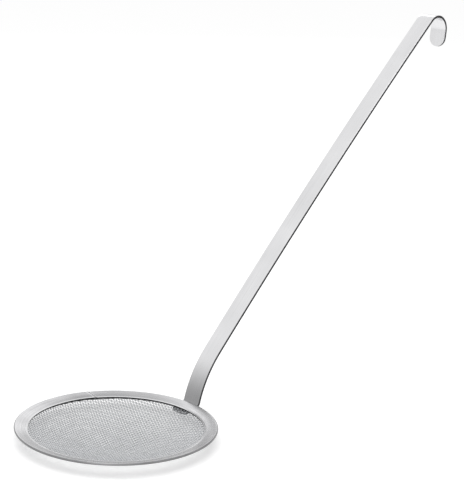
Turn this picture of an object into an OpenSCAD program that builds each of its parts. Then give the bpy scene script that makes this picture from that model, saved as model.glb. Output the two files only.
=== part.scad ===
// Mesh skimmer: a shallow dish of woven stainless wire held in a folded sheet rim,
// with a long strap handle that is welded under the rim and bent into a hanging hook.
//
// The origin is the middle of the dish at the height of the rim's fold. +Z is up, the dish
// lies level as it is held over a pot, and the handle rises towards +X.

/* [Rim] */
// Diameter over the rim's fold
rim_d = 160; // [120:1:200]
// Width of the rim's upper side, from its fold to the edge round the wire
rim_w = 10.5; // [9:0.5:16]
// Width of the rim's under side
rim_under_w = 9.5; // [8:0.5:16]
// Thickness of the rim's sheet
sheet_t = 0.5; // [0.4:0.1:1]

/* [Wire cloth] */
// Radius of the shallow sphere that rim and cloth are pressed to
dish_r = 290; // [220:5:420]
// Diameter of one wire
wire_d = 0.5; // [0.3:0.05:0.8]
// Distance between neighbouring wires
wire_pitch = 2.17; // [1.8:0.01:3]
// Wires of the cloth that one modelled strand stands for
wires_per_strand = 4; // [4:1:6]
// Turn of the weave against the handle
weave_turn = 58; // [0:1:90]
// How far the cloth reaches into the rim
cloth_grip = 7; // [4:0.5:7.5]

/* [Handle strap] */
// Width of the strap
strap_w = 16.6; // [12:0.1:22]
// Thickness of the strap
strap_t = 2; // [1.5:0.1:3]
// Length of the flat foot under the rim
foot_len = 13; // [9:0.5:14]
// Radius of the foot's two free corners
foot_corner_r = 3; // [1:0.5:5]
// How far past the rim's edge the foot runs before it bends up
foot_reach = 0.5; // [0.5:0.1:4]
// Inner radius of the bend between the foot and the upright part
foot_bend_r = 3; // [2.5:0.5:6]
// Steepest slope of the strap, just outside the rim
foot_rise = 74; // [66:1:84]
// Length over which the strap leans back from that slope
lean_len = 44.7; // [30:0.1:60]
// Slope of the long part at its lower end
slope_low = 46.6; // [44:0.1:55]
// Slope of the long part at its upper end
slope_high = 42.6; // [34:0.1:43.5]
// Length of the long part
shaft_len = 366; // [250:1:450]

/* [Hook] */
// Inner radius of the hook, which is the largest rail that it seats on
hook_r = 12; // [6:0.5:15]
// Slope of the hook's tail, where -90 hangs straight down
hook_slope = -97; // [-110:1:-80]
// Length of the straight tail with its round end
hook_tail = 14; // [12:0.5:30]

/* [Clearances] */
// Gap between the cloth and each side of the folded rim
cloth_gap = 0.03; // [0.02:0.01:0.06]
// Gap between the foot and the rim at the weld
weld_gap = 0.02; // [0.02:0.01:0.1]
// How deep crossing strands press into each other
strand_bond = 0.1; // [0.05:0.01:0.2]
// Step by which every second stretch of the strap is thinner on each face
thin_step = 0.01; // [0.005:0.005:0.02]

/* [Hidden] */

// Facets of the flat arcs, of the rings round the dish and of the small bends
arc_fn = 1440;
ring_fn = 180;
bend_fn = 96;
// Reach of a cutting shape beyond what it cuts
over = 1;

// Where they cross, the cloth is two wires thick
cloth_t = 2 * wire_d;
slot_t = cloth_t + 2 * cloth_gap;
fold_r = slot_t / 2 + sheet_t;
// Middle of the fold, on the sphere through the middle of the cloth
fold_x = rim_d / 2 - fold_r;
fold_a = asin(fold_x / dish_r);
// Height of the sphere's centre, which puts the middle of the fold at z = 0
dish_z = dish_r * cos(fold_a);
rim_in_x = rim_d / 2 - rim_w;
cloth_x = rim_in_x + cloth_grip;

// One strand holds as much metal as the wires that it stands for
strand_pitch = wires_per_strand * wire_pitch;
strand_w = wires_per_strand * PI / 4 * wire_d;
strand_n = floor(cloth_x / strand_pitch - 0.5);

// The foot lies on the plane that touches the rim's under side above the foot's middle
foot_end_x = rim_d / 2 + foot_reach;
seat_a = asin((foot_end_x - foot_len / 2) / dish_r);
seat_r = dish_r + fold_r + weld_gap + strap_t / 2;
seat_mid = [seat_r * sin(seat_a), dish_z - seat_r * cos(seat_a)];
foot_start = seat_mid - along(seat_a) * foot_len / 2;

// The strap's middle line, from the foot's free end to the hook's tip, as rows of length
// and turn. A turn is in degrees and positive to the left, seen with +X to the right.
STRAP = [
    [foot_len, 0],
    bend(foot_bend_r, foot_rise - seat_a),
    [lean_len, slope_low - foot_rise],
    [shaft_len, slope_high - slope_low],
    bend(hook_r, hook_slope - slope_high),
    [hook_tail, 0]
];

function along(a) = [cos(a), sin(a)];
// Row of a bend with the given inner radius
function bend(inner_r, turn) = [(inner_r + strap_t / 2) * abs(turn) * PI / 180, turn];
// Radius of the middle line of a row that turns, to a hundredth of a millimetre
function row_r(row) = round(100 * row[0] / (abs(row[1]) * PI / 180)) / 100;

// Half of the plane, with the Y axis as its edge, on the side that the sign of side gives
module half_plane(side, size) {
    translate([side < 0 ? -size : 0, -size])
        square([size, 2 * size]);
}

// Part of a ring of thickness t round the origin. It starts at the Y axis, below the origin
// for a positive turn and above it for a negative one, and goes towards +X.
module ring_part(mid_r, t, turn, facets) {
    outer_r = mid_r + t / 2;
    intersection() {
        difference() {
            circle(r = outer_r, $fn = facets);
            circle(r = outer_r - t, $fn = facets);
        }
        half_plane(1, outer_r + over);
        rotate(turn)
            half_plane(-1, outer_r + over);
    }
}

// Section of one side of the rim, from radius x to the fold, which lies straight below
module rim_side(mid_r, x) {
    mirror([1, 0])
        ring_part(mid_r, sheet_t, fold_a - asin(x / dish_r), arc_fn);
}

// Section of the fold that joins the rim's two sides
module rim_fold() {
    translate([0, -dish_r])
        intersection() {
            difference() {
                circle(r = fold_r, $fn = bend_fn);
                circle(r = slot_t / 2, $fn = bend_fn);
            }
            half_plane(1, fold_r + over);
        }
}

// The strands of one layer, seen from above, cut off where the cloth ends
module strand_pattern() {
    intersection() {
        circle(r = cloth_x, $fn = ring_fn);
        for (i = [-strand_n - 1 : strand_n])
            translate([-cloth_x, (i + 0.5) * strand_pitch - strand_w / 2])
                square([2 * cloth_x, strand_w]);
    }
}

// Section between two spheres round the dish's centre, from the middle out to the cloth's edge
module bowl_section(inner_r, outer_r) {
    translate([0, dish_z])
        intersection() {
            difference() {
                circle(r = outer_r, $fn = arc_fn);
                circle(r = inner_r, $fn = arc_fn);
            }
            translate([0, -outer_r - over])
                square([cloth_x + over, outer_r]);
        }
}

// One layer of the cloth, between two spheres
module cloth_layer(inner_r, outer_r, turn) {
    intersection() {
        rotate_extrude($fn = ring_fn)
            bowl_section(inner_r, outer_r);
        rotate([0, 0, turn])
            translate([0, 0, dish_z - dish_r - over])
                linear_extrude(dish_r - dish_z + 2 * over)
                    strand_pattern();
    }
}

// Side view of the strap from row i on, in the frame where that row starts. Neighbouring rows
// differ by a hair in thickness, so that they join along a clear edge.
module strap_profile(i = 0) {
    if (i < len(STRAP)) {
        row = STRAP[i];
        t = strap_t - 2 * thin_step * (i % 2);
        if (row[1] == 0) {
            translate([0, -t / 2])
                square([row[0], t]);
            translate([row[0], 0])
                strap_profile(i + 1);
        } else {
            r = row_r(row);
            side = sign(row[1]);
            translate([0, side * r]) {
                ring_part(r, t, row[1], r > 10 * strap_w ? arc_fn : bend_fn);
                rotate(row[1])
                    translate([0, -side * r])
                        strap_profile(i + 1);
            }
        }
    }
}

// Places its children in the frame where row i of the strap starts
module at_row(i, from = 0) {
    if (i == from) {
        children();
    } else {
        row = STRAP[from];
        if (row[1] == 0) {
            translate([row[0], 0, 0])
                at_row(i, from + 1)
                    children();
        } else {
            r = row_r(row);
            side = sign(row[1]);
            translate([0, 0, side * r])
                rotate([0, -row[1], 0])
                    translate([0, 0, -side * r])
                        at_row(i, from + 1)
                            children();
        }
    }
}

// What is cut off the foot's free end, seen from above
module foot_offcut() {
    reach = foot_corner_r + over;
    for (side = [-1, 1])
        difference() {
            translate([-over, side < 0 ? -strap_w / 2 - over : strap_w / 2 - foot_corner_r])
                square(reach);
            translate([foot_corner_r, side * (strap_w / 2 - foot_corner_r)])
                circle(r = foot_corner_r, $fn = bend_fn);
        }
}

// What is cut off the hook's tip, seen along the strap's thickness. The round is a hair wider
// than the strap, so that it meets the strap's sides along clear edges.
module tip_offcut() {
    tip_r = strap_w / 2 + thin_step;
    difference() {
        translate([hook_tail - tip_r, -strap_w / 2 - over])
            square([tip_r + over, strap_w + 2 * over]);
        translate([hook_tail - tip_r, 0])
            circle(r = tip_r, $fn = bend_fn);
    }
}

// One ring of sheet, folded flat round the edge of the cloth
module rim() {
    color([0.80, 0.80, 0.81])
        rotate_extrude($fn = ring_fn)
            translate([0, dish_z])
                rotate(fold_a) {
                    rim_side(dish_r - (slot_t + sheet_t) / 2, rim_in_x);
                    rim_side(dish_r + (slot_t + sheet_t) / 2, rim_d / 2 - rim_under_w);
                    rim_fold();
                }
}

// Wire cloth pressed to a dish, with one strand for each few of its wires
module wire_cloth() {
    color([0.70, 0.72, 0.74]) {
        cloth_layer(dish_r - wire_d, dish_r + strand_bond / 2, weave_turn);
        cloth_layer(dish_r - strand_bond / 2, dish_r + wire_d, weave_turn + 90);
    }
}

// One strip: foot, upright, long shaft and hook
module handle_strap() {
    color([0.84, 0.84, 0.85])
        translate([foot_start[0], 0, foot_start[1]])
            rotate([0, -seat_a, 0])
                difference() {
                    rotate([90, 0, 0])
                        translate([0, 0, -strap_w / 2])
                            linear_extrude(strap_w)
                                strap_profile();
                    translate([0, 0, -strap_t / 2 - over])
                        linear_extrude(strap_t + 2 * over)
                            foot_offcut();
                    at_row(len(STRAP) - 1)
                        translate([0, 0, -strap_t / 2 - over])
                            linear_extrude(strap_t + 2 * over)
                                tip_offcut();
                }
}

rim();
wire_cloth();
handle_strap();
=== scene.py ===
"""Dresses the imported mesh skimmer: a dish of woven wire in a folded rim, on a bent strap handle.

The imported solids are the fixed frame. Rim, cloth and handle are built again here with the detail
that the solids leave out, such as the single wires, the rim's seam and the strap's eased edges,
and each new piece stands for its solid.
"""

import logging
import math
from dataclasses import dataclass
from enum import Enum

import bmesh
import bpy
from mathutils import Matrix, Vector, noise


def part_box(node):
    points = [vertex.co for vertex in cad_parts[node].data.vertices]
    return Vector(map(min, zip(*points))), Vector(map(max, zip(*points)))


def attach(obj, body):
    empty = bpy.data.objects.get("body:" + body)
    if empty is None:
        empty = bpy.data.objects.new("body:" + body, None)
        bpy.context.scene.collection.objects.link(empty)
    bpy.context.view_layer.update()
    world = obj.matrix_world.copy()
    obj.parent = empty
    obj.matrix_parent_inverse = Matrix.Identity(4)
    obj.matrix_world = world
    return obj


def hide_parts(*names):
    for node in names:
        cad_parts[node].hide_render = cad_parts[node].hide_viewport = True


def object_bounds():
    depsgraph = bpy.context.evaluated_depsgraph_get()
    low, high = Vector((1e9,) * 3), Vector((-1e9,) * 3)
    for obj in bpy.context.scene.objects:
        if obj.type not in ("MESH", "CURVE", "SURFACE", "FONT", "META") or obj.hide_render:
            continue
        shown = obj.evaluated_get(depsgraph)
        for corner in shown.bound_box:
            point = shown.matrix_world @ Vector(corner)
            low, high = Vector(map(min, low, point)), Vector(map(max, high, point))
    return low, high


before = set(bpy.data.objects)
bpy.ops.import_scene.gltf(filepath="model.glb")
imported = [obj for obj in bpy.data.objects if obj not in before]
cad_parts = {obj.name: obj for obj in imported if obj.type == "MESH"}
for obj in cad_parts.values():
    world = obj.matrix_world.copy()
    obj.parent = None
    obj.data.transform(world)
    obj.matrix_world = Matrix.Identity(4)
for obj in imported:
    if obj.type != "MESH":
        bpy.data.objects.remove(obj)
CAD_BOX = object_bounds()

MM = 0.001
BODY = "root"
PHOTO_SIZE = (464, 480)

log = logging.getLogger("skimmer")


class Slot(Enum):
    """The record's material slots."""

    RIM = "rim_sheet"
    WIRE = "wire"
    STRAP = "strap"


class Skin(Enum):
    """The skins of a sheet-metal piece, by the index of their material."""

    FACE = 0
    CUT = 1
    FOLD = 2


# Node helpers


def link(tree: bpy.types.NodeTree, source: bpy.types.NodeSocket, target: bpy.types.NodeSocket) -> None:
    """Joins two sockets of a node tree."""
    tree.links.new(source, target)


def smooth_step(x: float, low: float, high: float) -> float:
    """Eases from 0 at low to 1 at high.

    Args:
        x: The value to look up.
        low: Where the step starts.
        high: Where the step ends.

    Returns:
        A value from 0 to 1.
    """
    t = min(max((x - low) / (high - low), 0.0), 1.0)
    return t * t * (3.0 - 2.0 * t)


class EffectGroup:
    """A shader node group with one vector input, some values and one mask output."""

    def __init__(self, name: str, values: dict[str, float]) -> None:
        """Makes the group with its sockets.

        Args:
            name: What the group is called.
            values: The names and defaults of its value inputs.
        """
        self.tree = bpy.data.node_groups.new(name, "ShaderNodeTree")
        sockets = self.tree.interface
        sockets.new_socket("Vector", in_out="INPUT", socket_type="NodeSocketVector")
        for key, value in values.items():
            sockets.new_socket(key, in_out="INPUT", socket_type="NodeSocketFloat").default_value = value
        sockets.new_socket("Mask", in_out="OUTPUT", socket_type="NodeSocketFloat")
        self.inputs = self.tree.nodes.new("NodeGroupInput").outputs
        self.outputs = self.tree.nodes.new("NodeGroupOutput").inputs

    def node(self, kind: str, **settings: object) -> bpy.types.Node:
        """Adds a node to the group.

        Args:
            kind: The node's type.
            **settings: Properties that are set on it.

        Returns:
            The node.
        """
        made = self.tree.nodes.new(kind)
        for key, value in settings.items():
            setattr(made, key, value)
        return made

    def maths(
        self, operation: str, first: bpy.types.NodeSocket, second: bpy.types.NodeSocket | float
    ) -> bpy.types.NodeSocket:
        """Adds a Math node.

        Args:
            operation: What it does.
            first: Its first input.
            second: Its second input, linked or fixed.

        Returns:
            The node's output.
        """
        made = self.node("ShaderNodeMath", operation=operation)
        link(self.tree, first, made.inputs[0])
        if isinstance(second, (int, float)):
            made.inputs[1].default_value = second
        else:
            link(self.tree, second, made.inputs[1])
        return made.outputs[0]


def streaks_group() -> bpy.types.NodeTree:
    """Builds the grain of brushed or drawn metal, long along the first coordinate.

    Returns:
        The group, whose mask is 0.5 on average.
    """
    group = EffectGroup("Streaks", {"Length": 40.0, "Width": 0.5, "Contrast": 1.0})
    parts = group.node("ShaderNodeSeparateXYZ")
    link(group.tree, group.inputs["Vector"], parts.inputs[0])
    packed = group.node("ShaderNodeCombineXYZ")
    link(group.tree, group.maths("DIVIDE", parts.outputs["X"], group.inputs["Length"]), packed.inputs["X"])
    link(group.tree, group.maths("DIVIDE", parts.outputs["Y"], group.inputs["Width"]), packed.inputs["Y"])
    link(group.tree, parts.outputs["Z"], packed.inputs["Z"])
    grain = group.node("ShaderNodeTexNoise")
    grain.inputs["Scale"].default_value = 1.0
    grain.inputs["Detail"].default_value = 4.0
    grain.inputs["Roughness"].default_value = 0.65
    link(group.tree, packed.outputs[0], grain.inputs["Vector"])
    centred = group.maths("SUBTRACT", grain.outputs[0], 0.5)
    scaled = group.maths("MULTIPLY", centred, group.inputs["Contrast"])
    link(group.tree, group.maths("ADD", scaled, 0.5), group.outputs["Mask"])
    return group.tree


def clouds_group() -> bpy.types.NodeTree:
    """Builds the soft, uneven haze of handled metal.

    Returns:
        The group, whose mask is 0.5 on average.
    """
    group = EffectGroup("Clouds", {"Size": 20.0, "Contrast": 1.0})
    scale = group.node("ShaderNodeVectorMath", operation="DIVIDE")
    link(group.tree, group.inputs["Vector"], scale.inputs[0])
    link(group.tree, group.inputs["Size"], scale.inputs[1])
    haze = group.node("ShaderNodeTexNoise")
    haze.inputs["Scale"].default_value = 1.0
    haze.inputs["Detail"].default_value = 3.0
    link(group.tree, scale.outputs[0], haze.inputs["Vector"])
    centred = group.maths("SUBTRACT", haze.outputs[0], 0.5)
    scaled = group.maths("MULTIPLY", centred, group.inputs["Contrast"])
    link(group.tree, group.maths("ADD", scaled, 0.5), group.outputs["Mask"])
    return group.tree


@dataclass(frozen=True)
class SteelFinish:
    """Stainless steel with a grain, a haze and a fine relief.

    Lengths are in millimetres on the piece. The grain runs along the first coordinate of the
    piece's own UV map, which is in metres, or in all directions on Object coordinates. Below
    painted_shade_from along the piece the tone is times painted_shade, a painted shade that
    stands in for dark reflections, and it is full from painted_shade_to on.
    """

    name: str
    light: tuple[float, float, float]
    dark: tuple[float, float, float]
    smooth: float
    rough: float
    grain_length: float
    grain_width: float
    grain_contrast: float
    haze_size: float
    haze_contrast: float
    relief: float
    follows_piece: bool = True
    painted_shade_from: float = 0.0
    painted_shade_to: float = 0.0
    painted_shade: float = 1.0

    def build(self, streaks: bpy.types.NodeTree, clouds: bpy.types.NodeTree) -> bpy.types.Material:
        """Makes the material.

        Args:
            streaks: The group that draws the grain.
            clouds: The group that draws the haze.

        Returns:
            The material.
        """
        material = bpy.data.materials.new(self.name)
        material.use_nodes = True
        tree = material.node_tree
        shader = tree.nodes["Principled BSDF"]
        shader.inputs["Metallic"].default_value = 1.0
        where = tree.nodes.new("ShaderNodeTexCoord")
        to_mm = tree.nodes.new("ShaderNodeVectorMath")
        to_mm.operation = "SCALE"
        to_mm.inputs["Scale"].default_value = 1.0 / MM
        link(tree, where.outputs["UV" if self.follows_piece else "Object"], to_mm.inputs[0])
        on_object = tree.nodes.new("ShaderNodeVectorMath")
        on_object.operation = "SCALE"
        on_object.inputs["Scale"].default_value = 1.0 / MM
        link(tree, where.outputs["Object"], on_object.inputs[0])

        grain = tree.nodes.new("ShaderNodeGroup")
        grain.node_tree = streaks
        grain.inputs["Length"].default_value = self.grain_length
        grain.inputs["Width"].default_value = self.grain_width
        grain.inputs["Contrast"].default_value = self.grain_contrast
        link(tree, to_mm.outputs[0], grain.inputs["Vector"])
        haze = tree.nodes.new("ShaderNodeGroup")
        haze.node_tree = clouds
        haze.inputs["Size"].default_value = self.haze_size
        haze.inputs["Contrast"].default_value = self.haze_contrast
        link(tree, on_object.outputs[0], haze.inputs["Vector"])

        both = tree.nodes.new("ShaderNodeMath")
        both.operation = "MULTIPLY_ADD"
        both.inputs[1].default_value = 0.5
        both.inputs[2].default_value = 0.0
        link(tree, self._sum(tree, grain.outputs[0], haze.outputs[0]), both.inputs[0])
        tone = tree.nodes.new("ShaderNodeMix")
        tone.data_type = "RGBA"
        tone.inputs["A"].default_value = (*self.dark, 1.0)
        tone.inputs["B"].default_value = (*self.light, 1.0)
        link(tree, both.outputs[0], tone.inputs["Factor"])
        self._tone_with_painted_shade(tree, tone.outputs["Result"], to_mm.outputs[0], shader.inputs["Base Color"])
        gloss = tree.nodes.new("ShaderNodeMapRange")
        gloss.inputs["To Min"].default_value = self.rough
        gloss.inputs["To Max"].default_value = self.smooth
        link(tree, both.outputs[0], gloss.inputs["Value"])
        link(tree, gloss.outputs[0], shader.inputs["Roughness"])
        bump = tree.nodes.new("ShaderNodeBump")
        bump.inputs["Strength"].default_value = self.relief
        bump.inputs["Distance"].default_value = 0.02 * MM
        link(tree, grain.outputs[0], bump.inputs["Height"])
        link(tree, bump.outputs[0], shader.inputs["Normal"])
        return material

    def _tone_with_painted_shade(
        self,
        tree: bpy.types.NodeTree,
        colour: bpy.types.NodeSocket,
        where: bpy.types.NodeSocket,
        target: bpy.types.NodeSocket,
    ) -> None:
        """Joins the colour to the shader, with painted shade towards the piece's start where asked.

        Args:
            tree: The material's nodes.
            colour: The colour to join.
            where: The place on the piece in millimetres.
            target: The shader's socket.
        """
        if self.painted_shade_to <= self.painted_shade_from:
            link(tree, colour, target)
            return
        # Painted shade: the colour is scaled down towards the piece's start, standing in for dark
        # reflections there.
        parts = tree.nodes.new("ShaderNodeSeparateXYZ")
        link(tree, where, parts.inputs[0])
        painted_shade_ramp = tree.nodes.new("ShaderNodeMapRange")
        painted_shade_ramp.interpolation_type = "SMOOTHSTEP"
        painted_shade_ramp.inputs["From Min"].default_value = self.painted_shade_from
        painted_shade_ramp.inputs["From Max"].default_value = self.painted_shade_to
        painted_shade_ramp.inputs["To Min"].default_value = self.painted_shade
        link(tree, parts.outputs["X"], painted_shade_ramp.inputs["Value"])
        painted_shade_colour = tree.nodes.new("ShaderNodeVectorMath")
        painted_shade_colour.operation = "SCALE"
        link(tree, colour, painted_shade_colour.inputs[0])
        link(tree, painted_shade_ramp.outputs[0], painted_shade_colour.inputs["Scale"])
        link(tree, painted_shade_colour.outputs[0], target)

    @staticmethod
    def _sum(
        tree: bpy.types.NodeTree, first: bpy.types.NodeSocket, second: bpy.types.NodeSocket
    ) -> bpy.types.NodeSocket:
        """Adds two masks and returns the output of the sum."""
        made = tree.nodes.new("ShaderNodeMath")
        made.operation = "ADD"
        link(tree, first, made.inputs[0])
        link(tree, second, made.inputs[1])
        return made.outputs[0]


BRUSHED_RIM = SteelFinish(
    name="brushed_rim_sheet",
    light=(0.58, 0.58, 0.59),
    dark=(0.15, 0.15, 0.154),
    smooth=0.20,
    rough=0.34,
    grain_length=60.0,
    grain_width=0.9,
    grain_contrast=1.3,
    haze_size=26.0,
    haze_contrast=0.8,
    relief=0.25,
)
POLISHED_STRAP_WITH_PAINTED_SHADE = SteelFinish(
    name="polished_strap_with_painted_shade",
    light=(0.93, 0.93, 0.94),
    dark=(0.54, 0.54, 0.55),
    smooth=0.12,
    rough=0.24,
    grain_length=90.0,
    grain_width=0.8,
    grain_contrast=0.9,
    haze_size=34.0,
    haze_contrast=0.9,
    relief=0.12,
    # Painted shade: the strap is darkest on its foot up to 20 mm along and eases to full tone at 58 mm,
    # standing in for dark reflections on the foot and upright.
    painted_shade_from=20.0,
    painted_shade_to=58.0,
    painted_shade=0.42,
)
# Near-black painted shade on the cut edges of rim and strap, standing in for shadow and dark reflection on
# these narrow faces; the roughness is the sheared steel's own.
SHEARED_EDGE_PAINTED_SHADE = SteelFinish(
    name="sheared_edge_painted_shade",
    light=(0.07, 0.07, 0.072),
    dark=(0.02, 0.02, 0.021),
    smooth=0.34,
    rough=0.55,
    grain_length=2.0,
    grain_width=0.4,
    grain_contrast=1.2,
    haze_size=12.0,
    haze_contrast=1.0,
    relief=0.5,
)
# The outer fold is darker than the rim's face: painted shade standing in for the shadow under the hem.
FOLD_PAINTED_SHADE = SteelFinish(
    name="fold_painted_shade",
    light=(0.34, 0.34, 0.345),
    dark=(0.10, 0.10, 0.102),
    smooth=0.24,
    rough=0.40,
    grain_length=40.0,
    grain_width=0.6,
    grain_contrast=1.3,
    haze_size=22.0,
    haze_contrast=1.6,
    relief=0.3,
)
DRAWN_WIRE = SteelFinish(
    name="drawn_wire",
    light=(0.48, 0.49, 0.505),
    dark=(0.24, 0.245, 0.255),
    smooth=0.22,
    rough=0.36,
    grain_length=30.0,
    grain_width=30.0,
    grain_contrast=0.8,
    haze_size=9.0,
    haze_contrast=1.0,
    relief=0.0,
    follows_piece=False,
)


# Meshes


def finish_mesh(name: str, bm: bmesh.types.BMesh, materials: list[bpy.types.Material]) -> bpy.types.Object:
    """Turns a bmesh into a smooth-shaded piece of the skimmer.

    Args:
        name: The piece's name.
        bm: Its mesh, in the row's frame, which is freed.
        materials: Its materials, in the order of Skin.

    Returns:
        The piece.
    """
    mesh = bpy.data.meshes.new(name)
    bm.to_mesh(mesh)
    bm.free()
    mesh.shade_smooth()
    for material in materials:
        mesh.materials.append(material)
    piece = bpy.data.objects.new(name, mesh)
    bpy.context.scene.collection.objects.link(piece)
    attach(piece, BODY)
    return piece


@dataclass(frozen=True)
class Dish:
    """The sphere that rim and cloth are pressed to, read from the rim's solid."""

    rim_r: float
    sphere_r: float = 290.0 * MM
    sheet_t: float = 0.5 * MM
    wire_d: float = 0.5 * MM
    slot_t: float = 1.06 * MM

    @property
    def fold_r(self) -> float:
        """Outer radius of the rim's fold."""
        return self.slot_t / 2 + self.sheet_t

    @property
    def fold_a(self) -> float:
        """Angle from the dish's middle to the middle of the fold."""
        return math.asin((self.rim_r - self.fold_r) / self.sphere_r)

    def point(self, inward: float, lift: float) -> Vector:
        """Finds a point of a section through the dish's axis.

        Args:
            inward: Distance along the sphere from the middle of the fold towards the axis.
            lift: Distance above the sphere.

        Returns:
            The point, with Y at 0.
        """
        angle = self.fold_a - inward / self.sphere_r
        reach = self.sphere_r - lift
        height = self.sphere_r * math.cos(self.fold_a)
        return Vector((reach * math.sin(angle), 0.0, height - reach * math.cos(angle)))

    def measure(self, place: Vector) -> tuple[float, float]:
        """Finds where a point lies against the section.

        Args:
            place: Any point near the dish.

        Returns:
            How far inward it is from the fold, and its lift above the sphere.
        """
        flat = math.hypot(place.x, place.y)
        down = self.sphere_r * math.cos(self.fold_a) - place.z
        inward = (self.fold_a - math.atan2(flat, down)) * self.sphere_r
        return inward, self.sphere_r - math.hypot(flat, down)


@dataclass
class Rim:
    """The ring of sheet, folded over the edge of the cloth, with its seam."""

    dish: Dish
    upper_w: float = 9.9 * MM
    under_w: float = 8.85 * MM
    lip_lift: float = 0.42 * MM
    lip_w: float = 1.5 * MM
    lip_round: float = 0.12 * MM
    crown: float = 0.16 * MM
    steps: int = 360
    seam_at: float = 65.3
    seam_slant: float = 3.7
    seam_step: float = 0.22 * MM
    seam_fade: float = 26.0
    seam_lead: float = 20.0
    slant_fade: float = 18.0
    seam_pull: float = 0.85
    top_rows: int = 14
    fold_rows: int = 12
    lip_rows: int = 3

    def upper_lift(self, inward: float) -> float:
        """Height of the upper side's top above the sphere, with its crown and raised lip."""
        across = min(max(inward / self.upper_w, 0.0), 1.0)
        lip = smooth_step(inward, self.upper_w - self.lip_w, self.upper_w)
        return self.dish.fold_r + self.crown * math.sin(math.pi * across) + self.lip_lift * lip

    def section(self) -> list[Vector]:
        """Draws the closed section of the folded sheet, from the upper lip round the fold.

        Returns:
            The points in order.
        """
        dish = self.dish
        slot = dish.slot_t / 2
        top_n, fold_n, lip_n = self.top_rows, self.fold_rows, self.lip_rows
        points = []
        for i in range(lip_n + 1):
            turn = math.pi / 2 * (1 - i / lip_n)
            points.append((self.upper_w - self.lip_round * (1 - math.sin(turn)),
                           self.upper_lift(self.upper_w) - self.lip_round * (1 - math.cos(turn))))
        for i in range(top_n):
            inward = (self.upper_w - self.lip_round) * (1 - (i + 1) / top_n)
            points.append((inward, self.upper_lift(inward)))
        for i in range(1, fold_n + 1):
            turn = math.pi * i / fold_n
            points.append((-dish.fold_r * math.sin(turn), dish.fold_r * math.cos(turn)))
        points.append((self.under_w - self.lip_round, -dish.fold_r))
        points.append((self.under_w, -dish.fold_r + self.lip_round))
        points.append((self.under_w, -slot - self.lip_round))
        points.append((self.under_w - self.lip_round, -slot))
        for i in range(fold_n + 1):
            turn = math.pi * (1 - i / fold_n)
            points.append((-slot * math.sin(turn), slot * math.cos(turn)))
        for i in range(1, top_n + 1):
            inward = (self.upper_w - self.lip_round) * i / top_n
            points.append((inward, slot))
        points.append((self.upper_w, slot + self.lip_round))
        return [dish.point(inward, lift) for inward, lift in points]

    def build(
        self, face: bpy.types.Material, cut_edge_shade: bpy.types.Material, fold_shade: bpy.types.Material
    ) -> bpy.types.Object:
        """Spins the section into the ring and works its seam.

        Args:
            face: The sheet's finish.
            cut_edge_shade: The finish of its cut edges, near black with painted shade.
            fold_shade: The finish of the outer fold, darker with painted shade.

        Returns:
            The rim.
        """
        bm = bmesh.new()
        corners = [bm.verts.new(point) for point in self.section()]
        for first, second in zip(corners, corners[1:] + corners[:1]):
            bm.edges.new((first, second))
        bmesh.ops.spin(
            bm, geom=bm.verts[:] + bm.edges[:], cent=(0, 0, 0), axis=(0, 0, 1),
            dvec=(0, 0, 0), angle=math.tau, steps=self.steps, use_merge=True, use_duplicate=False,
        )
        bmesh.ops.remove_doubles(bm, verts=bm.verts[:], dist=0.002 * MM)
        bmesh.ops.recalc_face_normals(bm, faces=bm.faces[:])
        self._skins(bm)
        self._map(bm)
        self._seam(bm)
        return finish_mesh("folded_rim", bm, [face, cut_edge_shade, fold_shade])

    def _skins(self, bm: bmesh.types.BMesh) -> None:
        """Gives the two lips the cut skin and the outer bend the fold's skin, whose finishes are darkened
        with painted shade.
        """
        for part in bm.faces:
            inward, lift = self.dish.measure(part.calc_center_median())
            edge = self.upper_w if lift > 0 else self.under_w
            skin = Skin.FACE
            if inward > edge - 0.8 * self.lip_round:
                skin = Skin.CUT
            elif inward < -0.5 * self.dish.fold_r:
                skin = Skin.FOLD
            part.material_index = skin.value

    def _map(self, bm: bmesh.types.BMesh) -> None:
        """Lays a UV map in metres, round the ring and across the sheet."""
        layer = bm.loops.layers.uv.new("along_and_across")
        for part in bm.faces:
            middle = part.calc_center_median()
            about = math.atan2(middle.y, middle.x)
            for loop in part.loops:
                place = loop.vert.co
                turn = math.atan2(place.y, place.x) - about
                turn = (turn + math.pi) % math.tau - math.pi
                inward, lift = self.dish.measure(place)
                loop[layer].uv = ((about + turn) * self.dish.rim_r, inward + 3.0 * (lift < 0) * self.upper_w)

    def _seam(self, bm: bmesh.types.BMesh) -> None:
        """Draws one ring of corners onto the slanted seam and raises the sheet behind it."""
        step = 360.0 / self.steps
        seam_column = round(self.seam_at / step) * step
        for vert in bm.verts:
            inward, lift = self.dish.measure(vert.co)
            about = math.degrees(math.atan2(vert.co.y, vert.co.x))
            past = about - seam_column
            if not -self.seam_lead < past < self.seam_fade or lift < self.dish.slot_t / 4:
                continue
            slant = self.seam_slant * max(inward, 0.0) / self.upper_w
            shift = -slant * (1 - smooth_step(abs(past), 0.0, self.slant_fade))
            if abs(past - step) < 0.01:
                shift -= self.seam_pull * step
            vert.co = Matrix.Rotation(math.radians(shift), 3, "Z") @ vert.co
            if past > 0.01:
                outward = self.seam_step * (1 - smooth_step(past, 0.3 * self.seam_fade, self.seam_fade))
                vert.co += Vector((0, 0, outward))


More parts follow.
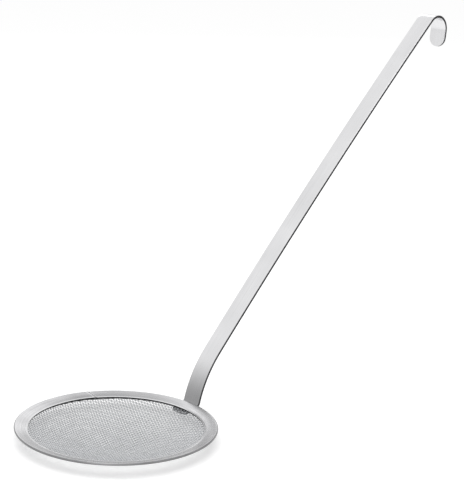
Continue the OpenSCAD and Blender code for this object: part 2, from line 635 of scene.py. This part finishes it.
@dataclass
class WireCloth:
    """The plain-woven cloth: warp and weft wires that pass over and under each other."""

    dish: Dish
    pitch: float = 2.17 * MM
    turn: float = 58.0
    reach: float = 76.4 * MM
    rings_per_crossing: int = 4
    round_resolution: int = 1

    def wires(self, across: bool) -> list[list[Vector]]:
        """Works out the middle lines of one set of wires.

        Args:
            across: True for the weft, which lies square to the warp.

        Returns:
            One list of points for each wire.
        """
        lines = []
        count = int(self.reach / self.pitch - 0.5)
        turned = Matrix.Rotation(math.radians(self.turn + 90.0 * across), 3, "Z")
        for row in range(-count - 1, count + 1):
            aside = (row + 0.5) * self.pitch
            half = math.sqrt(self.reach**2 - aside**2)
            stations = max(2, int(half / self.pitch * self.rings_per_crossing))
            points = []
            for i in range(-stations, stations + 1):
                along = i * self.pitch / self.rings_per_crossing
                wave = math.sin(math.pi * along / self.pitch) * (1 if row % 2 else -1)
                lift = self.dish.wire_d / 2 * wave * (-1 if across else 1)
                points.append(self._on_dish(turned @ Vector((along, aside, 0.0)), lift))
            lines.append(points)
        return lines

    def _on_dish(self, flat: Vector, lift: float) -> Vector:
        """Lifts a point of the plan onto the dish's sphere."""
        height = self.dish.sphere_r * math.cos(self.dish.fold_a)
        down = math.sqrt(self.dish.sphere_r**2 - flat.x**2 - flat.y**2)
        outward = Vector((flat.x, flat.y, -down)) / self.dish.sphere_r
        return Vector((flat.x, flat.y, height - down)) - outward * lift

    def build(self, name: str, across: bool, wire: bpy.types.Material) -> bpy.types.Object:
        """Draws one set of wires as round tubes.

        Args:
            name: The piece's name.
            across: True for the weft.
            wire: The wire's finish.

        Returns:
            The set of wires.
        """
        curve = bpy.data.curves.new(name, "CURVE")
        curve.dimensions = "3D"
        curve.bevel_depth = self.dish.wire_d / 2
        curve.bevel_resolution = self.round_resolution
        curve.use_fill_caps = True
        for points in self.wires(across):
            spline = curve.splines.new("POLY")
            spline.points.add(len(points) - 1)
            for knot, place in zip(spline.points, points):
                knot.co = (*place, 1.0)
        drawn = bpy.data.objects.new(name, curve)
        bm = bmesh.new()
        bm.from_mesh(drawn.to_mesh())
        drawn.to_mesh_clear()
        bpy.data.objects.remove(drawn)
        bmesh.ops.recalc_face_normals(bm, faces=bm.faces[:])
        return finish_mesh(name, bm, [wire])


@dataclass(frozen=True)
class Stretch:
    """One stretch of the strap's middle line: its length, and its turn in degrees."""

    length: float
    turn: float

    @classmethod
    def bend(cls, radius: float, turn: float) -> "Stretch":
        """Makes a stretch that turns at a given radius of its middle line."""
        return cls(radius * abs(math.radians(turn)), turn)


@dataclass
class Handle:
    """The strap: foot, bend, upright, long shaft and hook, as one ribbon given its thickness."""

    dish: Dish
    width: float
    thickness: float = 2.0 * MM
    foot_len: float = 13.0 * MM
    foot_reach: float = 0.5 * MM
    foot_corner: float = 3.0 * MM
    weld_gap: float = 0.02 * MM
    foot_bend: float = 4.0 * MM
    foot_rise: float = 74.0
    lean_len: float = 44.7 * MM
    slope_low: float = 46.6
    slope_high: float = 42.6
    shaft_len: float = 366.0 * MM
    hook_radius: float = 13.0 * MM
    hook_slope: float = -97.0
    tail_len: float = 14.0 * MM
    columns: int = 8
    corner_rows: int = 8
    tip_rows: int = 14
    straight_rows: int = 4
    tight_turn: float = 30.0
    gentle_row: float = 2.0 * MM
    tight_row: float = 0.35 * MM
    least_row: float = 0.02 * MM
    edge_round: float = 0.22 * MM
    ripple: float = 0.02 * MM

    @property
    def seat_a(self) -> float:
        """Slope of the foot, which touches the rim's under side above the foot's middle."""
        return math.asin((self.dish.rim_r + self.foot_reach - self.foot_len / 2) / self.dish.sphere_r)

    def stretches(self) -> list[Stretch]:
        """Lists the stretches from the foot's free end to the hook's tip."""
        return [
            Stretch(self.foot_len, 0.0),
            Stretch.bend(self.foot_bend, self.foot_rise - math.degrees(self.seat_a)),
            Stretch(self.lean_len, self.slope_low - self.foot_rise),
            Stretch(self.shaft_len, self.slope_high - self.slope_low),
            Stretch.bend(self.hook_radius, self.hook_slope - self.slope_high),
            Stretch(self.tail_len, 0.0),
        ]

    def start(self) -> Vector:
        """Finds the free end of the foot's middle line."""
        reach = self.dish.sphere_r + self.dish.fold_r + self.weld_gap + self.thickness / 2
        height = self.dish.sphere_r * math.cos(self.dish.fold_a)
        seat = Vector((reach * math.sin(self.seat_a), 0.0, height - reach * math.cos(self.seat_a)))
        return seat - Vector((math.cos(self.seat_a), 0.0, math.sin(self.seat_a))) * self.foot_len / 2

    def stations(self) -> list[float]:
        """Chooses where along the strap its rows of corners lie.

        Returns:
            Distances from the foot's free end.
        """
        marks = [0.0]
        for i in range(1, self.corner_rows + 1):
            marks.append(self.foot_corner * (1 - math.cos(math.pi / 2 * i / self.corner_rows)))
        done = 0.0
        for part in self.stretches():
            finest = self.gentle_row if abs(part.turn) < self.tight_turn else self.tight_row
            count = max(2, math.ceil(part.length / finest)) if part.turn else self.straight_rows
            marks += [done + part.length * (i + 1) / count for i in range(count)]
            done += part.length
        half = self.width / 2
        marks += [
            done - half * (1 - math.sin(math.pi / 2 * i / self.tip_rows))
            for i in range(self.tip_rows + 1)
        ]
        marks.sort()
        kept = [marks[0]]
        for mark in marks[1:]:
            if mark - kept[-1] > self.least_row:
                kept.append(mark)
        return kept

    def place(self, along: float) -> tuple[Vector, float]:
        """Finds a point of the middle line.

        Args:
            along: Distance from the foot's free end.

        Returns:
            The point and the slope there in radians.
        """
        spot = self.start()
        slope = self.seat_a
        for part in self.stretches():
            run = min(along, part.length)
            if part.turn:
                radius = part.length / math.radians(part.turn)
                turned = run / radius
                centre = spot + radius * Vector((-math.sin(slope), 0.0, math.cos(slope)))
                slope += turned
                spot = centre - radius * Vector((-math.sin(slope), 0.0, math.cos(slope)))
            else:
                spot = spot + run * Vector((math.cos(slope), 0.0, math.sin(slope)))
            along -= run
            if along <= 0:
                break
        return spot, slope

    def half_width(self, along: float, total: float) -> float:
        """Half of the strap's width, with the foot's corners and the round tip."""
        half = self.width / 2
        if along < self.foot_corner:
            lack = self.foot_corner - along
            return half - self.foot_corner + math.sqrt(self.foot_corner**2 - lack**2)
        past = along - (total - half)
        return math.sqrt(max(half**2 - past**2, 0.0)) if past > 0 else half

    def build(self, face: bpy.types.Material, cut_edge_shade: bpy.types.Material) -> bpy.types.Object:
        """Lays the ribbon along the middle line and gives it its thickness and eased edges.

        Args:
            face: The finish of the strap's two faces, with painted shade towards the foot.
            cut_edge_shade: The finish of its cut edges, near black with painted shade.

        Returns:
            The handle.
        """
        marks = self.stations()
        total = sum(part.length for part in self.stretches())
        bm = bmesh.new()
        layer = bm.loops.layers.uv.new("along_and_across")
        bmesh.ops.create_grid(bm, x_segments=len(marks) - 1, y_segments=self.columns, size=0.5)
        spots = {}
        for vert in bm.verts:
            row = round((vert.co.x + 0.5) * (len(marks) - 1))
            share = 2.0 * vert.co.y
            along = marks[row]
            aside = share * self.half_width(along, total)
            middle, slope = self.place(along)
            up = Vector((-math.sin(slope), 0.0, math.cos(slope)))
            wave = self.ripple * noise.noise(Vector((along / (14 * MM), aside / (9 * MM), 3.0)))
            spots[vert] = (along, aside)
            vert.co = middle + Vector((0.0, aside, 0.0)) + up * wave
        for part in bm.faces:
            for loop in part.loops:
                loop[layer].uv = spots[loop.vert]
        bmesh.ops.remove_doubles(bm, verts=bm.verts[:], dist=0.01 * MM)
        bmesh.ops.recalc_face_normals(bm, faces=bm.faces[:])
        piece = finish_mesh("strap_handle", bm, [face, cut_edge_shade])
        wall = piece.modifiers.new("Wall", "SOLIDIFY")
        wall.thickness = self.thickness
        wall.offset = 0.0
        # The strap's side faces take the cut edge finish, whose near-black tone is painted shade.
        wall.material_offset_rim = Skin.CUT.value
        ease = piece.modifiers.new("Ease", "BEVEL")
        ease.width = self.edge_round
        ease.segments = 3
        ease.limit_method = "ANGLE"
        ease.angle_limit = math.radians(50)
        return piece


# Studio


@dataclass(frozen=True)
class PhotoCamera:
    """The camera that took the photograph, fitted to the rim's and the strap's outlines."""

    azimuth: float = -46.65
    elevation: float = 14.36
    roll: float = 2.12
    distance: float = 1322.20 * MM
    focal_px: float = 1614.14
    aim: tuple[float, float, float] = (124.22 * MM, 0.0, 130.87 * MM)
    sensor: float = 36.0

    def build(self) -> None:
        """Adds the camera and makes it the scene's own."""
        side, rise, roll = (math.radians(x) for x in (self.azimuth, self.elevation, self.roll))
        back = Vector((math.sin(side) * math.cos(rise), -math.cos(side) * math.cos(rise), math.sin(rise)))
        level = Vector((math.cos(side), math.sin(side), 0.0))
        upright = back.cross(level)
        right = math.cos(roll) * level + math.sin(roll) * upright
        up = math.cos(roll) * upright - math.sin(roll) * level
        data = bpy.data.cameras.new("photo_camera")
        data.sensor_width = self.sensor
        data.lens = self.focal_px * self.sensor / max(PHOTO_SIZE)
        data.clip_start = 10 * MM
        data.clip_end = 100.0
        camera = bpy.data.objects.new("photo_camera", data)
        turned = Matrix((right, up, back)).transposed().to_4x4()
        camera.matrix_world = Matrix.Translation(Vector(self.aim) + back * self.distance) @ turned
        bpy.context.scene.collection.objects.link(camera)
        bpy.context.scene.camera = camera


@dataclass(frozen=True)
class Softbox:
    """A large soft lamp that looks at the skimmer."""

    name: str
    place: tuple[float, float, float]
    size: tuple[float, float]
    power: float

    def build(self, target: Vector) -> None:
        """Adds the lamp.

        Args:
            target: The point that it looks at.
        """
        data = bpy.data.lights.new(self.name, "AREA")
        data.shape = "RECTANGLE"
        data.size, data.size_y = self.size
        data.energy = self.power
        lamp = bpy.data.objects.new(self.name, data)
        lamp.location = self.place
        lamp.rotation_euler = (target - Vector(self.place)).to_track_quat("-Z", "Y").to_euler()
        bpy.context.scene.collection.objects.link(lamp)


@dataclass
class Studio:
    """A plain white floor and world with soft lamps."""

    floor_z: float
    floor_size: float = 12.0
    floor_glow: float = 0.36
    world_light: float = 0.76
    lamps: tuple[Softbox, ...] = (
        Softbox("overhead", (-0.25, -0.15, 1.7), (1.6, 1.2), 9.0),
        Softbox("left_front", (-1.5, -0.6, 0.9), (1.0, 1.2), 4.0),
        Softbox("right_back", (1.2, 1.5, 1.1), (1.2, 1.0), 4.0),
    )

    def build(self) -> None:
        """Adds floor, world and lamps and sets how colours are shown."""
        bpy.context.scene.view_settings.view_transform = "Standard"
        self._floor()
        self._world()
        for lamp in self.lamps:
            lamp.build(Vector((0.12, 0.0, 0.1)))

    @staticmethod
    def _seen(tree: bpy.types.NodeTree) -> bpy.types.NodeSocket:
        """Adds a mask that is 1 where the camera, a reflection or a see-through ray looks."""
        path = tree.nodes.new("ShaderNodeLightPath")
        total = path.outputs["Is Camera Ray"]
        for name in ("Is Glossy Ray", "Is Transmission Ray"):
            most = tree.nodes.new("ShaderNodeMath")
            most.operation = "MAXIMUM"
            link(tree, total, most.inputs[0])
            link(tree, path.outputs[name], most.inputs[1])
            total = most.outputs[0]
        return total

    def _floor(self) -> None:
        """Lays the floor, which is shown white and keeps the skimmer's shadow."""
        bm = bmesh.new()
        bmesh.ops.create_grid(bm, x_segments=1, y_segments=1, size=self.floor_size / 2)
        bmesh.ops.translate(bm, verts=bm.verts[:], vec=(0.0, 0.0, self.floor_z))
        mesh = bpy.data.meshes.new("floor")
        bm.to_mesh(mesh)
        bm.free()
        material = bpy.data.materials.new("white_floor")
        material.use_nodes = True
        tree = material.node_tree
        tree.nodes.remove(tree.nodes["Principled BSDF"])
        matt = tree.nodes.new("ShaderNodeBsdfDiffuse")
        matt.inputs["Color"].default_value = (0.80, 0.80, 0.80, 1.0)
        glow = tree.nodes.new("ShaderNodeEmission")
        glow.inputs["Strength"].default_value = self.floor_glow
        lit = tree.nodes.new("ShaderNodeAddShader")
        link(tree, matt.outputs[0], lit.inputs[0])
        link(tree, glow.outputs[0], lit.inputs[1])
        choice = tree.nodes.new("ShaderNodeMixShader")
        link(tree, self._seen(tree), choice.inputs[0])
        link(tree, matt.outputs[0], choice.inputs[1])
        link(tree, lit.outputs[0], choice.inputs[2])
        link(tree, choice.outputs[0], tree.nodes["Material Output"].inputs["Surface"])
        mesh.materials.append(material)
        floor = bpy.data.objects.new("floor", mesh)
        bpy.context.scene.collection.objects.link(floor)

    def _world(self) -> None:
        """Sets a world that lights softly and is shown white."""
        world = bpy.data.worlds.new("studio")
        world.use_nodes = True
        tree = world.node_tree
        background = tree.nodes["Background"]
        background.inputs["Color"].default_value = (1.0, 1.0, 1.0, 1.0)
        level = tree.nodes.new("ShaderNodeMapRange")
        level.inputs["To Min"].default_value = self.world_light
        level.inputs["To Max"].default_value = 1.0
        link(tree, self._seen(tree), level.inputs["Value"])
        link(tree, level.outputs[0], background.inputs["Strength"])
        bpy.context.scene.world = world


def report(piece: bpy.types.Object) -> None:
    """Logs a piece and its number of faces."""
    log.info("%s: %d faces", piece.name, len(piece.data.polygons))


def dress_pieces() -> None:
    """Builds the rim, the cloth and the handle over the frame's solids."""
    streaks = streaks_group()
    clouds = clouds_group()
    face = BRUSHED_RIM.build(streaks, clouds)
    strap = POLISHED_STRAP_WITH_PAINTED_SHADE.build(streaks, clouds)
    cut_edge_shade = SHEARED_EDGE_PAINTED_SHADE.build(streaks, clouds)
    wire = DRAWN_WIRE.build(streaks, clouds)
    rim_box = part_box("rim")
    strap_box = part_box("handle_strap")
    dish = Dish(rim_r=rim_box[1][0])

    rim = Rim(dish).build(face, cut_edge_shade, FOLD_PAINTED_SHADE.build(streaks, clouds))
    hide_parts("rim")
    report(rim)
    cloth = WireCloth(dish)
    for name, across in (("warp_wires", False), ("weft_wires", True)):
        wires = cloth.build(name, across, wire)
        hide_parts("wire_cloth")
        report(wires)
    handle = Handle(dish, width=strap_box[1][1] - strap_box[0][1]).build(strap, cut_edge_shade)
    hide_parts("handle_strap")
    report(handle)


def main() -> None:
    """Builds camera, pieces and studio."""
    logging.basicConfig(level=logging.INFO, format="%(name)s: %(message)s")
    PhotoCamera().build()
    dress_pieces()
    Studio(floor_z=CAD_BOX[0][2]).build()


if __name__ == "__main__":
    main()
